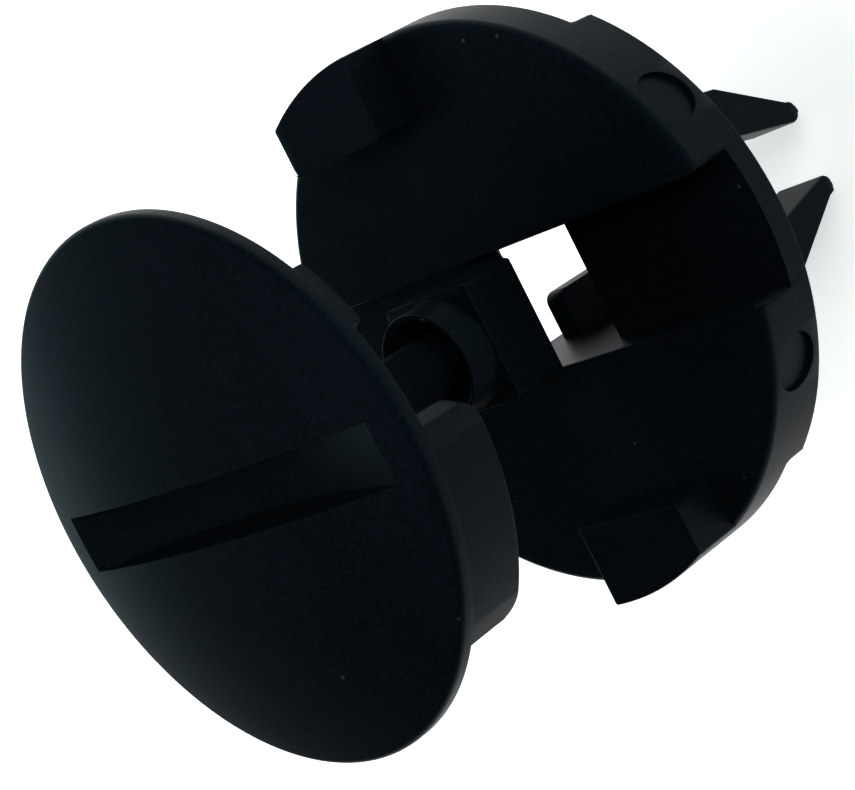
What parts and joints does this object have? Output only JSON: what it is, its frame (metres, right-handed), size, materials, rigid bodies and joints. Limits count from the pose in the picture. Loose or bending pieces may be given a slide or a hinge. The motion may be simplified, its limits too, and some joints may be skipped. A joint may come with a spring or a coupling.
{
  "type": "panel retainer clip",
  "caption": "Black plastic panel retainer clip: a snap-in round body with legs, a sliding plunger and a slotted quarter-turn head.",
  "frame": {"origin": "on the clip's axis, at the body's seating face against the panel", "axes": "+Z along the axis towards the slotted head, +X along the channel in the body's front"},
  "size_m": [0.026, 0.026, 0.035],
  "materials": {
    "black_plastic": "satin moulded"
  },
  "bodies": {
    "body": {"body": "black_plastic"},
    "plunger": {"plunger": "black_plastic"},
    "head": {"head": "black_plastic"}
  },
  "joints": [
    {"name": "plunger_slide", "type": "slide", "parent": "body", "child": "plunger", "axis": [0, 0, 1], "range_m": [-0.0139, 0]},
    {"name": "head_turn", "type": "hinge", "parent": "plunger", "child": "head", "pos_m": [0, 0, 0.0093], "axis": [0, 0, 1], "range_deg": [-6, 78]}
  ]
}
